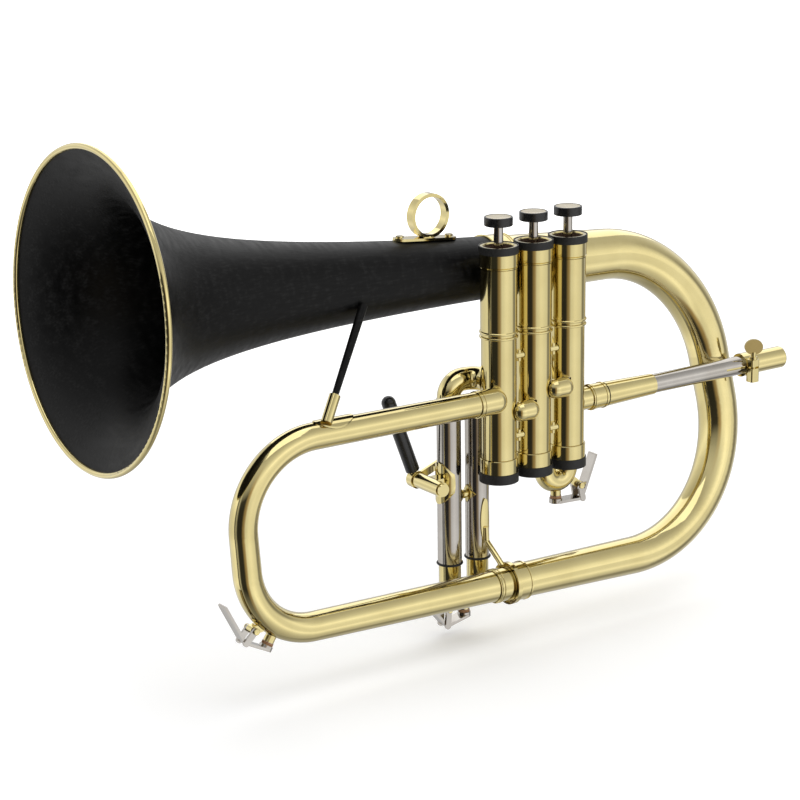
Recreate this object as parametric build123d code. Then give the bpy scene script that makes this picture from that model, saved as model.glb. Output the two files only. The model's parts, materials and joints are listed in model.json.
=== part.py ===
from build123d import *
import math
import os

# A flugelhorn with three piston valves, a carbon-fibre bell and brass and nickel tubing.
# Frame: the origin is the middle of valve 2, +X points to the player, +Z up, +Y to the player's right.
# Lengths are in millimetres.

os.makedirs("parts", exist_ok=True)

# ---- Driving dimensions ----
VALVE_SPACING = 22.8
VALVE_X = {1: VALVE_SPACING, 2: 0.0, 3: -VALVE_SPACING}
BLOCK_HALF = 63.5
TUBE_WALL = 0.5
FIT = 0.05

# Valve casings, their caps and the pistons in them
LOWER_R = 9.35
UPPER_R = 9.7
BORE_R = 8.4
CASING_LOW = -60.0
CASING_HIGH = 54.8
THREAD_LOW = -50.5
THREAD_HIGH = 51.4
BEAD_LOW = 15.2
BEAD_HIGH = 17.8
CAP_R = 10.1
TRIM_R = 10.5
PISTON_LOW = -43.0
PISTON_HIGH = 20.0
BARREL_HIGH = 53.0
GUIDE_Z = 25.0
SPRING_TOP = 51.5
STEM_R = 2.5
STROKE = 15.5
BUTTON_R = 7.5
BUTTON_LOW = 73.8
BUTTON_HIGH = 78.5

# Bell and the bow that carries on from it
BELL_JOIN_X = -5.0
BELL_LENGTH = 238.5
MOUTH_R = 79.2
FLARE_START = 15.17
FLARE_POWER = 0.561
BELL_WALL = 1.2
RIM_WIRE_R = 1.6
TOP_Y = 28.3
TOP_Z = 44.5
TOP_SLOPE = -0.0457
PASSAGE_Y = -8.0
BOTTOM_Z = -119.8
BOTTOM_SLOPE = -0.0276
SIDE_X = 136.6
SIDE_W = -84.9
SIDE_LEAN = -0.0655
BOW_TILT = math.degrees(math.atan2(TOP_Y - PASSAGE_Y, TOP_Z - BOTTOM_Z))
BACK_TOP_BEND = 70.0
BACK_LOW_BEND = 73.0
FERRULE_X = -22.0

# Front bow, from the valve 3 outlet round to the lower ferrule
OUTLET_Z = -17.15
OUTLET_X = -33.0
FRONT_SIDE_X = -185.3
FRONT_LEAN = 0.069
FRONT_TOP_SLOPE = 0.011
FRONT_LOW_SLOPE = 0.032
FRONT_TOP_BEND = 41.5
FRONT_LOW_BEND = 39.6

# Leadpipe and mouthpiece receiver
LEAD_Z = -28.5
LEAD_RISE = 0.019
LEAD_TURN = -0.05
SLEEVE_X = (47.2, 79.5)
CLAMP_X = (141.6, 148.2)
RECEIVER_X = (150.6, 171.4)
RECEIVER_BORE_R = 4.8
RECEIVER_DEPTH = 19.0
SCREW_OUT = 7.4
WING_TURN = -34.0

# Valve slides: outer tubes stay, inner legs draw out of them
OUTER_R = 6.5
LEG_R = 5.95
SLIDE_Y = 17.0
THIRD_X = (-43.1, -24.7)
THIRD_OUTER_LOW = -109.5
THIRD_LEG_LOW = -121.0
FIRST_X = (21.4, 36.4)
FIRST_OUTER_LOW = -58.0
FIRST_LEG_LOW = -70.7
SECOND_Z = (-19.0, -3.0)
SECOND_LEG_Y = 22.0

# Third-slide trigger
PIVOT_X = -55.5
PIVOT_Z = -64.3
BARREL_Y = (6.3, 27.5)
LEVER_Y = 30.0
LEVER_LEAN = 20.6
LEVER_LENGTH = 48.0
CRANK_ARM = 18.5
CRANK_RISE = 20.0
LINK_Y = 26.4


def save(shape, name):
    """Write one node of the assembly."""
    export_step(shape, f"parts/{name}.step")


def group(shapes):
    """Several separate solids that share one node."""
    return Compound(children=list(shapes))


def rod(start, end, radius):
    """A round bar between two points."""
    start, end = Vector(*start), Vector(*end)
    axis = end - start
    return Plane(origin=start, z_dir=axis) * Cylinder(
        radius, axis.length, align=(Align.CENTER, Align.CENTER, Align.MIN)
    )


def pipe(start, end, outer, inner):
    """A round tube between two points."""
    return rod(start, end, outer) - rod(start, end, inner)


def ring_z(x, y, low, high, outer, inner=0.0):
    """A round ring or disc standing on a vertical axis."""
    ring = rod((x, y, low), (x, y, high), outer)
    return ring - rod((x, y, low), (x, y, high), inner) if inner else ring


def block(low, high):
    """A box between two corners."""
    size = [b - a for a, b in zip(low, high)]
    centre = [(a + b) / 2 for a, b in zip(low, high)]
    return Pos(*centre) * Box(*size)


def turned(profile, x=0.0, y=0.0):
    """A solid turned about a vertical axis from (radius, height) points."""
    outline = Plane.XZ * make_face(Polyline(*profile, close=True))
    return Pos(x, y, 0) * revolve(outline, Axis.Z, 360)


def bent(points, bends, outer, inner=0.0):
    """A round tube of one size along straight runs joined by arcs."""
    path = FilletPolyline(*points, radius=bends)
    start = Plane(origin=path @ 0, z_dir=path % 0)
    tube = sweep(start * Circle(outer), path)
    return tube - sweep(start * Circle(inner), path) if inner else tube


def tapered(path, side, radii, wall):
    """A hollow tube whose radius follows (distance, radius) pairs along a path."""

    def radius_at(distance):
        for (s0, r0), (s1, r1) in zip(radii, radii[1:]):
            if distance <= s1:
                return r0 + (r1 - r0) * (distance - s0) / (s1 - s0)
        return radii[-1][1]

    def skin(inset):
        covered = 0.0
        spans = []
        for edge in path.edges():
            ends = [(0, covered), (1, covered + edge.length)]
            covered += edge.length
            sections = []
            for share, distance in ends:
                plane = Plane(origin=edge @ share, x_dir=side, z_dir=edge % share)
                sections.append(plane * Circle(radius_at(distance) - inset))
            if edge.geom_type == GeomType.CIRCLE:
                spans.append(sweep(sections, path=edge, multisection=True))
            else:
                spans.append(loft(sections))
        return spans

    outer, inner = skin(0.0), skin(wall)
    tube = [a - b for a, b in zip(outer, inner)]
    return tube[0].fuse(*tube[1:])


def meet(line_a, line_b):
    """Where two lines in a plane cross; each line is (point, direction)."""
    (ax, ay), (adx, ady) = line_a
    (bx, by), (bdx, bdy) = line_b
    cross = adx * bdy - ady * bdx
    share = ((bx - ax) * bdy - (by - ay) * bdx) / cross
    return ax + adx * share, ay + ady * share


def lead_y(x):
    """The leadpipe leans a little away from the bow that it passes."""
    return LEAD_TURN * (x - VALVE_X[1])


def lead_z(x):
    """Height of the leadpipe's axis, which climbs gently toward the player."""
    return LEAD_Z + LEAD_RISE * (x - VALVE_X[1])


def lead_point(x):
    return x, lead_y(x), lead_z(x)


# ---- Bell ----
BOW_PLANE = Plane(
    origin=(0, TOP_Y, TOP_Z),
    x_dir=(1, 0, 0),
    z_dir=(0, -math.cos(math.radians(BOW_TILT)), math.sin(math.radians(BOW_TILT))),
)
BELL_AXIS = BOW_PLANE * Pos(BELL_JOIN_X, TOP_SLOPE * BELL_JOIN_X) * Rot(0, 0, 180 + math.degrees(TOP_SLOPE))


def bell_radius(along):
    """Outer radius of the flare, measured from the tail end toward the mouth."""
    depth = BELL_LENGTH - along
    return MOUTH_R * ((depth + FLARE_START) / FLARE_START) ** -FLARE_POWER


def bell_shell():
    """The carbon flare: a turned shell that opens toward the mouth."""
    stops = [BELL_LENGTH * (1 - (1 - i / 18) ** 1.8) for i in range(19)]
    outer = [(s, bell_radius(s)) for s in stops]
    inner = []
    for s, r in outer:
        slope = (bell_radius(s + 0.01) - bell_radius(s - 0.01)) / 0.02
        scale = BELL_WALL / math.hypot(1, slope)
        inner.append((s + slope * scale, r - scale))
    first, last = inner[0], inner[-1]
    outline = [
        Spline(*outer),
        Line(outer[-1], last),
        Spline(*inner),
        Line(first, outer[0]),
    ]
    face = make_face(outline)
    return BELL_AXIS * revolve(face, Axis.X, 360)


def bell_rim():
    """A brass wire rolled round the mouth."""
    section = Pos(BELL_LENGTH + 1.0, MOUTH_R - 0.4) * Circle(RIM_WIRE_R)
    return BELL_AXIS * revolve(section, Axis.X, 360) - bell_shell()


def bell_ferrule():
    """The brass collar where the bell's tail joins the back bow."""
    half = 7.0
    inner = bell_radius(half) + 0.05
    outer = inner + 0.55
    body = [(-half, inner), (half, inner), (half, outer), (-half, outer)]
    face = make_face(Polyline(*body, close=True))
    beads = [Pos(x, outer) * Circle(0.4) for x in (0.6 - half, 2.2 - half, half - 0.6)]
    for bead in beads:
        face += bead
    return BELL_AXIS * revolve(face, Axis.X, 360)


# ---- Bows ----
def back_bow():
    """The large bow behind the valves, tapering from the bell to the lower ferrule."""
    top = ((0.0, 0.0), (1.0, TOP_SLOPE))
    side = ((SIDE_X, SIDE_W), (SIDE_LEAN, 1.0))
    low_w = (BOTTOM_Z - TOP_Z) / math.cos(math.radians(BOW_TILT))
    low = ((0.0, low_w), (1.0, BOTTOM_SLOPE))
    start = (BELL_JOIN_X, TOP_SLOPE * BELL_JOIN_X)
    end = (FERRULE_X, low_w + BOTTOM_SLOPE * FERRULE_X)
    corners = [start, meet(top, side), meet(side, low), end]
    points = [BOW_PLANE.from_local_coords(Vector(x, w)) for x, w in corners]
    path = FilletPolyline(*points, radius=[BACK_TOP_BEND, BACK_LOW_BEND])
    radii = [(0, 16.3), (75, 14.0), (160, 11.6), (310, 10.4), (400, 9.3)]
    return tapered(path, BOW_PLANE.z_dir, radii, TUBE_WALL)


def front_corners():
    """The front bow's corner points in the upright plane of the valve passages."""
    top = ((0.0, OUTLET_Z), (-1.0, FRONT_TOP_SLOPE))
    side = ((FRONT_SIDE_X, -BLOCK_HALF), (FRONT_LEAN, -1.0))
    low = ((0.0, BOTTOM_Z), (-1.0, FRONT_LOW_SLOPE))
    first_x = OUTLET_X - 1.2
    start = (first_x, OUTLET_Z - FRONT_TOP_SLOPE * first_x)
    end = (FERRULE_X - 4.0, BOTTOM_Z - FRONT_LOW_SLOPE * (FERRULE_X - 4.0))
    return [start, meet(top, side), meet(side, low), end]


def front_bow():
    """The bow in front of the valves, with the straight tube from valve 3."""
    points = [(x, PASSAGE_Y, z) for x, z in front_corners()]
    path = FilletPolyline(*points, radius=[FRONT_TOP_BEND, FRONT_LOW_BEND])
    radii = [(0, 6.55), (110, 7.0), (220, 7.5), (330, 8.15), (375, 8.4)]
    return tapered(path, Vector(0, 1, 0), radii, TUBE_WALL)


def low_tube_point(x):
    return x, PASSAGE_Y, BOTTOM_Z - FRONT_LOW_SLOPE * x


def bow_ferrule():
    """The stepped collar that joins the two bows under the third slide."""
    profile = [
        (-33.7, 8.55), (-33.7, 9.0), (-24.4, 9.0), (-24.4, 9.6), (-23.0, 9.6),
        (-23.0, 10.2), (-14.6, 10.2), (-14.6, 10.5), (-13.6, 10.5), (-13.6, 9.9),
        (-21.9, 9.9), (-21.9, 8.7), (-24.4, 8.55),
    ]
    axis = Plane(origin=low_tube_point(0), x_dir=(1, 0, -FRONT_LOW_SLOPE), z_dir=(0, -1, 0))
    face = make_face(Polyline(*profile, close=True))
    for x in (-32.9, -31.2):
        face += Pos(x, 9.0) * Circle(0.35)
    return axis * revolve(face, Axis.X, 360)


# ---- Valve block ----
def port(x, z, side, radius):
    """A hole cutter through one side of a casing: side +1 is +Y, -1 is -Y."""
    return rod((x, side * 3.0, z), (x, side * 14.0, z), radius)


def passage_bar(x_low, x_high, z, radius):
    """A rounded bar along the front of the casings."""
    bar = rod((x_low, PASSAGE_Y, z), (x_high, PASSAGE_Y, z), radius)
    return bar + Pos(x_low, PASSAGE_Y, z) * Sphere(radius) + Pos(x_high, PASSAGE_Y, z) * Sphere(radius)


PASSAGE_R = 5.9
PASSAGES = {(1, 2): -16.9, (2, 3): -25.4}
PASSAGE_HALF = 2.6


def casing_outside(number):
    """The plain outer cylinder of a casing, used to trim what is fitted against it."""
    return ring_z(VALVE_X[number], 0, -BLOCK_HALF, BLOCK_HALF, UPPER_R)


def valve_passage(pair):
    """The short bridge tube that carries the air from one casing to the next."""
    left, right = VALVE_X[pair[1]], VALVE_X[pair[0]]
    middle = (left + right) / 2
    z = PASSAGES[pair]
    bar = passage_bar(middle - PASSAGE_HALF, middle + PASSAGE_HALF, z, PASSAGE_R)
    bore = passage_bar(middle - PASSAGE_HALF, middle + PASSAGE_HALF, z, PASSAGE_R - TUBE_WALL)
    shell = bar - bore
    for number in pair:
        shell -= casing_outside(number)
    return max(shell.solids(), key=lambda solid: solid.volume)


def valve_casing(number):
    """A turned casing in two sizes, with two beads and holes for its tubes."""
    x = VALVE_X[number]
    profile = [
        (BORE_R, CASING_LOW), (8.85, CASING_LOW), (8.85, THREAD_LOW), (LOWER_R, THREAD_LOW),
        (LOWER_R, BEAD_LOW - 0.7), (UPPER_R + 0.25, BEAD_LOW - 0.4), (UPPER_R + 0.25, BEAD_LOW + 0.4),
        (LOWER_R + 0.1, BEAD_LOW + 0.7), (LOWER_R + 0.1, BEAD_HIGH - 0.7),
        (UPPER_R + 0.35, BEAD_HIGH - 0.4), (UPPER_R + 0.35, BEAD_HIGH + 0.4),
        (UPPER_R, BEAD_HIGH + 0.7), (UPPER_R, THREAD_HIGH), (8.95, THREAD_HIGH),
        (8.95, CASING_HIGH), (BORE_R, CASING_HIGH),
    ]
    casing = turned(profile, x)
    for pair, z in PASSAGES.items():
        if number in pair:
            toward = math.copysign(1.0, sum(VALVE_X[n] for n in pair) / 2 - x)
            casing -= rod((x + toward * 4.0, PASSAGE_Y, z), (x + toward * 12.0, PASSAGE_Y, z), PASSAGE_R - 1.2)
    for z in SLIDE_PORTS[number]:
        casing -= port(x, z, 1, 4.9)
    if number == 1:
        casing -= rod(lead_point(x + 3.0), lead_point(x + 14.0), 4.9)
    if number == 3:
        casing -= rod((x - 12.0, PASSAGE_Y, OUTLET_Z), (x - 4.0, PASSAGE_Y, OUTLET_Z), 4.6)
    return casing


def piston(number):
    """A hollow piston with its cross bores, spring barrel and stem."""
    x = VALVE_X[number]
    outer = BORE_R - FIT
    body = ring_z(x, 0, PISTON_LOW, PISTON_HIGH, outer)
    body -= ring_z(x, 0, PISTON_LOW + 1.2, PISTON_HIGH - 1.2, outer - 0.8)
    tubes = []
    for z in SLIDE_PORTS[number]:
        tubes.append(((x, -outer, z - 4.0), (x, outer, z)))
    tubes.append(((x - outer, 0, PORT_LEVEL), (x + outer, 0, PORT_LEVEL)))
    envelope = ring_z(x, 0, PISTON_LOW, PISTON_HIGH, outer)
    for start, end in tubes:
        body += rod(start, end, 5.4) & envelope
    for start, end in tubes:
        body -= rod(start, end, 4.8)
    barrel = ring_z(x, 0, PISTON_HIGH, BARREL_HIGH, outer, outer - 0.8)
    barrel -= block((x - 10, -2.5, GUIDE_Z - 2.5), (x + 10, 2.5, GUIDE_Z + 2.5 + STROKE))
    lid = ring_z(x, 0, SPRING_TOP, BARREL_HIGH, outer)
    stem = ring_z(x, 0, SPRING_TOP, BUTTON_LOW, STEM_R)
    return body + barrel + lid + stem


def valve_guide(number):
    """The bar across the casing that keeps a piston from turning and carries its spring."""
    x = VALVE_X[number]
    bar = block((x - 9, -2.2, GUIDE_Z - 1), (x + 9, 2.2, GUIDE_Z + 1))
    return bar & ring_z(x, 0, GUIDE_Z - 2, GUIDE_Z + 2, BORE_R)


def valve_spring(number):
    """A coil spring between the guide bar and the lid of the spring barrel."""
    turns = 7
    wire = 0.4
    low, high = GUIDE_Z + 1 + wire, SPRING_TOP - wire
    path = Helix(pitch=(high - low) / turns, height=high - low, radius=5.2)
    coil = sweep(Plane(origin=path @ 0, z_dir=path % 0) * Circle(wire), path, is_frenet=True)
    return Pos(VALVE_X[number], 0, low) * coil


def top_cap(number):
    """The brass cap that holds the piston in, dished for its felt."""
    profile = [
        (9.0, 51.6), (9.6, 51.6), (CAP_R - 0.1, 51.9), (CAP_R - 0.1, 52.3), (9.6, 52.6),
        (CAP_R, 52.9), (CAP_R, 59.4), (9.7, 59.4), (9.7, 63.3), (8.3, 63.3), (8.0, 62.6),
        (8.0, 56.6), (3.2, 56.6), (3.2, 55.0), (9.0, 55.0),
    ]
    return turned(profile, VALVE_X[number])


def bottom_cap(number):
    """The brass cup that closes the casing, with its small vent."""
    profile = [
        (8.95, -50.7), (CAP_R - 0.2, -50.7), (CAP_R, -51.0), (CAP_R, -58.3), (9.6, -58.3),
        (9.6, -62.8), (2.0, -62.8), (2.0, -61.2), (8.95, -61.2),
    ]
    return turned(profile, VALVE_X[number])


def trim_rings(low, high, outer, inner):
    """The black trim rings of one row of caps."""
    return group(ring_z(x, 0, low, high, outer, inner) for x in VALVE_X.values())


def bottom_trim_rings():
    """Black rubber rings round the bottom caps."""
    return trim_rings(-BLOCK_HALF, -58.35, TRIM_R, 9.65)


def top_trim_rings():
    """Black rings round the top caps."""
    return trim_rings(59.45, BLOCK_HALF, TRIM_R, 9.75)


def top_felts():
    """The felt washers under the finger buttons."""
    return group(ring_z(x, 0, 56.65, 58.0, 7.8, 3.3) for x in VALVE_X.values())


def finger_button(number):
    """The black button, dished for its inlay."""
    x = VALVE_X[number]
    profile = [
        (0, BUTTON_LOW), (BUTTON_R - 0.5, BUTTON_LOW), (BUTTON_R, BUTTON_LOW + 0.5),
        (BUTTON_R, BUTTON_HIGH - 0.6), (BUTTON_R - 0.4, BUTTON_HIGH - 0.1),
        (BUTTON_R - 0.8, BUTTON_HIGH - 0.1), (BUTTON_R - 0.8, BUTTON_HIGH - 1.0), (0, BUTTON_HIGH - 1.0),
    ]
    return turned(profile, x)


def button_inlay(number):
    """The pale pearl disc set in the button."""
    return ring_z(VALVE_X[number], 0, BUTTON_HIGH - 1.0, BUTTON_HIGH, BUTTON_R - 0.85)


def casing_bridges():
    """Four small lugs that tie neighbouring casings together."""
    lugs = []
    for middle in (-VALVE_SPACING / 2, VALVE_SPACING / 2):
        for z in (3.5, -40.0):
            lug = rod((middle - 4, -2.0, z), (middle + 4, -2.0, z), 2.0)
            lug += ring_z(middle, -2.0, z - 3.0, z + 3.0, 1.6)
            for number in VALVE_X:
                lug -= casing_outside(number)
            lugs.append(max(lug.solids(), key=lambda solid: solid.volume))
    return group(lugs)


def outlet_knuckle():
    """The elbow that carries the air out of valve 3, with the collar on the front tube."""
    z = OUTLET_Z - FRONT_TOP_SLOPE * OUTLET_X
    outline = [
        Polyline((-11.0, 6.75), (-11.0, 7.2), (-10.2, 7.2), (-10.2, 6.95), (-8.8, 6.95), (-8.8, 7.2),
                 (-8.0, 7.2), (-8.0, 6.95), (1.0, 6.95)),
        CenterArc((1.0, 0), 6.95, 90, -90),
        Line((7.95, 0), (7.45, 0)),
        CenterArc((1.0, 0), 6.45, 0, 90),
        Polyline((1.0, 6.45), (-0.8, 6.45), (-0.8, 6.75), (-11.0, 6.75)),
    ]
    shell = Pos(OUTLET_X, PASSAGE_Y, z) * revolve(make_face(outline), Axis.X, 360)
    shell -= ring_z(VALVE_X[3], 0, -BLOCK_HALF, BLOCK_HALF, LOWER_R)
    return max(shell.solids(), key=lambda solid: solid.volume)


# ---- Leadpipe ----
def lead_knuckle():
    """The stub and collar that take the leadpipe into valve 1."""
    stub = pipe(lead_point(30.0), lead_point(46.4), 6.2, 5.0)
    collar = pipe(lead_point(36.6), lead_point(46.4), 6.9, 6.15)
    for x in (38.0, 45.4):
        collar += pipe(lead_point(x - 0.5), lead_point(x + 0.5), 7.2, 6.15)
    return (stub + collar) - ring_z(VALVE_X[1], 0, -BLOCK_HALF, BLOCK_HALF, LOWER_R)


def cone_x(x0, x1, r0, r1):
    """A tapered bar along the leadpipe's axis."""
    start, end = Vector(*lead_point(x0)), Vector(*lead_point(x1))
    first = Plane(origin=start, z_dir=end - start)
    last = Plane(origin=end, z_dir=end - start)
    return loft([first * Circle(r0), last * Circle(r1)])


def lead_sleeve():
    """The tapered brass sleeve between the valve collar and the nickel pipe."""
    return cone_x(*SLEEVE_X, 6.7, 5.75) - cone_x(*SLEEVE_X, 5.3, 5.3)


def lead_tube():
    """The nickel outer pipe, slit at its far end so that the clamp can close it."""
    tube = cone_x(SLEEVE_X[0] + 0.2, CLAMP_X[1], 5.25, 5.25) - cone_x(SLEEVE_X[0] + 0.2, CLAMP_X[1], 4.75, 4.75)
    slit_y, slit_z = lead_y(CLAMP_X[0]), lead_z(CLAMP_X[0])
    slit = block((128.0, slit_y - 9.0, slit_z - 0.6), (CLAMP_X[1] + 1, slit_y - 2.0, slit_z + 0.6))
    return tube - slit


def clamp_ring():
    """The split ring with two ears, one above the slit and one below, that tightens the pipe."""
    x0, x1 = CLAMP_X
    middle, y, z = lead_point((x0 + x1) / 2)
    ring = pipe(lead_point(x0), lead_point(x1), 6.6, 5.3)
    ears = block((x0 + 0.4, y - 9.8, z - 8.4), (x1 - 0.4, y - 4.4, z + 4.4))
    ears = fillet(ears.edges().filter_by(Axis.Z), 1.2)
    body = ring + ears - rod(lead_point(x0 - 1), lead_point(x1 + 1), 5.3)
    body -= block((x0 - 1, y - 12.0, z - 0.6), (x1 + 1, y, z + 0.6))
    return body - rod((middle, y - SCREW_OUT, z - 9.0), (middle, y - SCREW_OUT, z + 5.0), 1.3)


def wing_screw():
    """The upright thumb screw of the clamp: a shank, a collar, a neck and a flat oval wing."""
    middle, y, z = lead_point(sum(CLAMP_X) / 2)
    y -= SCREW_OUT
    shank = rod((middle, y, z - 7.6), (middle, y, z + 5.2), 1.2)
    collar = rod((middle, y, z + 4.45), (middle, y, z + 6.0), 2.2)
    neck = rod((middle, y, z + 5.9), (middle, y, z + 8.6), 1.4)
    wing = Pos(middle, y, z + 11.6) * Rot(0, 0, WING_TURN) * Rot(90, 0, 0) * extrude(Ellipse(5.2, 4.4), 0.9, both=True)
    return shank + collar + neck + wing


def mouthpipe():
    """The sliding mouthpipe with the receiver barrel for the mouthpiece."""
    x0, x1 = RECEIVER_X
    tube = pipe(lead_point(95.0), lead_point(x0 + 1), 4.75 - FIT, 4.2)
    barrel = rod(lead_point(x0), lead_point(x1), 6.1)
    barrel = fillet(barrel.edges().sort_by(Axis.X)[-1], 1.2)
    barrel -= rod(lead_point(x1 - RECEIVER_DEPTH), lead_point(x1 + 1), RECEIVER_BORE_R)
    return tube + (barrel - rod(lead_point(x0 - 1), lead_point(x1), 4.2))


# ---- Slides ----
SLIDE_PORTS = {1: (-14.0, 1.5), 2: SECOND_Z, 3: (-23.0, -10.0)}
PORT_LEVEL = -33.0


def crook(x_leg, x_valve, z_top, z_leg, casing):
    """A double bend from an upright slide tube over to the back of a casing."""
    points = [(x_leg, SLIDE_Y, z_leg), (x_leg, SLIDE_Y, z_top), (x_valve, SLIDE_Y, z_top), (x_valve, 6.5, z_top)]
    bend = min(8.6, abs(x_valve - x_leg) / 2 - 0.1)
    return bent(points, [bend, bend], 6.2, 5.6) - casing_outside(casing)


def elbow(x_leg, z_top, z_leg, casing):
    """A single bend from an upright slide tube straight into the back of a casing."""
    points = [(x_leg, SLIDE_Y, z_leg), (x_leg, SLIDE_Y, z_top), (x_leg, 6.5, z_top)]
    return bent(points, [7.6], 6.2, 5.6) - casing_outside(casing)


def slide_outers(xs, tops, low):
    """The pair of fixed tubes that an upright slide runs in."""
    return group(
        pipe((x, SLIDE_Y, low), (x, SLIDE_Y, top), OUTER_R, LEG_R + FIT) for x, top in zip(xs, tops)
    )


def slide_bow(xs, leg_top, leg_low):
    """The moving part of an upright slide: two legs and the half-round bow."""
    half = abs(xs[1] - xs[0]) / 2
    points = [
        (xs[0], SLIDE_Y, leg_top),
        (xs[0], SLIDE_Y, leg_low - half),
        (xs[1], SLIDE_Y, leg_low - half),
        (xs[1], SLIDE_Y, leg_top),
    ]
    bends = [half - 0.05, half - 0.05]
    return bent(points, bends, LEG_R, LEG_R - TUBE_WALL)


def third_slide_bow():
    """Third slide legs, bow, drain nipple, key post and the lug for the pull rod."""
    bow = slide_bow(THIRD_X, -52.0, THIRD_LEG_LOW)
    middle = sum(THIRD_X) / 2
    half = (THIRD_X[1] - THIRD_X[0]) / 2
    low = THIRD_LEG_LOW - half - LEG_R
    core = bent(
        [(THIRD_X[0], SLIDE_Y, -60), (THIRD_X[0], SLIDE_Y, THIRD_LEG_LOW - half),
         (THIRD_X[1], SLIDE_Y, THIRD_LEG_LOW - half), (THIRD_X[1], SLIDE_Y, -60)],
        [half - 0.05, half - 0.05], LEG_R - 0.2,
    )
    nipple = ring_z(middle, SLIDE_Y, low - 2.0, low + 1.5, 2.9)
    post = key_post(THIRD_KEY)
    lug = rod((LINK_X, SLIDE_Y + 3.0, LINK_LOW), (LINK_X, LINK_Y + 1.6, LINK_LOW), 2.0)
    return bow + ((nipple + post + lug) - core) - ring_z(middle, SLIDE_Y, low - 3, low + 4, 1.6)


def first_slide_bow():
    """First slide legs, bow, drain nipple and key post."""
    bow = slide_bow(FIRST_X, -30.0, FIRST_LEG_LOW)
    middle = sum(FIRST_X) / 2
    half = (FIRST_X[1] - FIRST_X[0]) / 2
    low = FIRST_LEG_LOW - half - LEG_R
    core = bent(
        [(FIRST_X[0], SLIDE_Y, -40), (FIRST_X[0], SLIDE_Y, FIRST_LEG_LOW - half),
         (FIRST_X[1], SLIDE_Y, FIRST_LEG_LOW - half), (FIRST_X[1], SLIDE_Y, -40)],
        [half - 0.05, half - 0.05], LEG_R - 0.2,
    )
    nipple = ring_z(middle, SLIDE_Y, low - 2.0, low + 1.5, 2.9)
    return bow + ((nipple + key_post(FIRST_KEY)) - core) - ring_z(middle, SLIDE_Y, low - 3, low + 4, 1.6)


def second_slide_outers():
    """The two short fixed tubes behind valve 2."""
    return group(
        pipe((0, 6.0, z), (0, 20.0, z), OUTER_R, LEG_R + FIT) - casing_outside(2) for z in SECOND_Z
    )


def second_slide_bow():
    """The short second slide with its pull knob, drawn out toward +Y."""
    half = (SECOND_Z[1] - SECOND_Z[0]) / 2
    middle = sum(SECOND_Z) / 2
    end = SECOND_LEG_Y + half
    points = [(0, 10.5, SECOND_Z[0]), (0, end, SECOND_Z[0]), (0, end, SECOND_Z[1]), (0, 10.5, SECOND_Z[1])]
    bow = bent(points, [half - 0.05, half - 0.05], LEG_R, LEG_R - TUBE_WALL)
    knob = rod((0, end + LEG_R - 0.4, middle), (0, end + LEG_R + 3.0, middle), 1.4)
    return bow + knob + rod((0, end + LEG_R + 2.2, middle), (0, end + LEG_R + 4.4, middle), 2.8)


def third_slide_brace():
    """The turned stay between the two fixed tubes of the third slide."""
    z = -73.5
    x0, x1 = THIRD_X
    stay = rod((x0 + 3, SLIDE_Y, z), (x1 - 3, SLIDE_Y, z), 1.7)
    stay += rod((x0 + 8.3, SLIDE_Y, z), (x1 - 8.3, SLIDE_Y, z), 2.4)
    for x, side in ((x0, 1), (x1, -1)):
        shell = ring_z(x, SLIDE_Y, z - 5, z + 5, OUTER_R + 0.7, OUTER_R)
        leaf = Pos(x + side * 7, SLIDE_Y, z) * Rot(0, 90, 0) * extrude(
            make_face(Polyline((-5, 0), (0, 5), (5, 0), (0, -5), close=True)), 4, both=True
        )
        stay += shell & leaf
    for x in THIRD_X:
        stay -= ring_z(x, SLIDE_Y, z - 6, z + 6, OUTER_R)
    return stay


def o_rings():
    """The black bumper rings at the foot of the third slide's fixed tubes."""
    return group(
        Pos(x, SLIDE_Y, THIRD_OUTER_LOW - 0.65) * Torus(LEG_R + 0.65, 0.6) for x in THIRD_X
    )


# ---- Water keys ----
# Each key is laid out in an upright plane: where its drain nipple ends, which way the nipple
# points, and where the pivot and the finger end of the lever stand from there.
THIRD_KEY = {
    "nipple": (-33.9, -138.2), "drain": -90.0, "side": -1.0, "y": 17.0,
    "pivot": (12.5, 2.8), "knee": (13.2, -6.6), "tip": (24.5, 7.0),
}
FIRST_KEY = {
    "nipple": (28.9, -86.2), "drain": -90.0, "side": 1.0, "y": 17.0,
    "pivot": (14.8, 3.4), "knee": (16.5, -4.5), "tip": (26.0, 18.6),
}
MAIN_KEY = {
    "nipple": (-173.3, -117.1), "drain": -123.0, "side": -1.0, "y": -8.0,
    "pivot": (12.4, 2.2), "knee": (14.2, -5.2), "tip": (34.5, 6.5),
}
CORK_R = 3.0
CORK_DEPTH = 2.4
KEY_PIN_R = 0.9


def key_point(key, across, out):
    """A point of a key: across from the nipple, and out along the drain direction is negative."""
    angle = math.radians(key["drain"] + 90.0)
    dx = key["side"] * across
    x = key["nipple"][0] + dx * math.cos(angle) - out * math.sin(angle)
    z = key["nipple"][1] + dx * math.sin(angle) + out * math.cos(angle)
    return x, key["y"], z


def flat_link(start, end, width, thick):
    """A flat bar with round ends in an upright plane, thick across it."""
    (x0, y, z0), (x1, _, z1) = start, end
    length = math.hypot(x1 - x0, z1 - z0)
    turn = math.degrees(math.atan2(z1 - z0, x1 - x0))
    bar = extrude(SlotCenterToCenter(length, width), thick / 2, both=True)
    upright = Plane(origin=((x0 + x1) / 2, y, (z0 + z1) / 2), x_dir=(1, 0, 0), z_dir=(0, -1, 0))
    return upright * Rot(0, 0, turn) * bar


def key_post(key):
    """The post on the tube that carries a key's hinge pin."""
    pivot = key_point(key, *key["pivot"])
    foot = key_point(key, key["pivot"][0] - 4.6, key["pivot"][1] + 3.6)
    post = flat_link(pivot, foot, 4.2, 4.6)
    return post - rod((pivot[0], pivot[1] - 4, pivot[2]), (pivot[0], pivot[1] + 4, pivot[2]), KEY_PIN_R + FIT)


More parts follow.
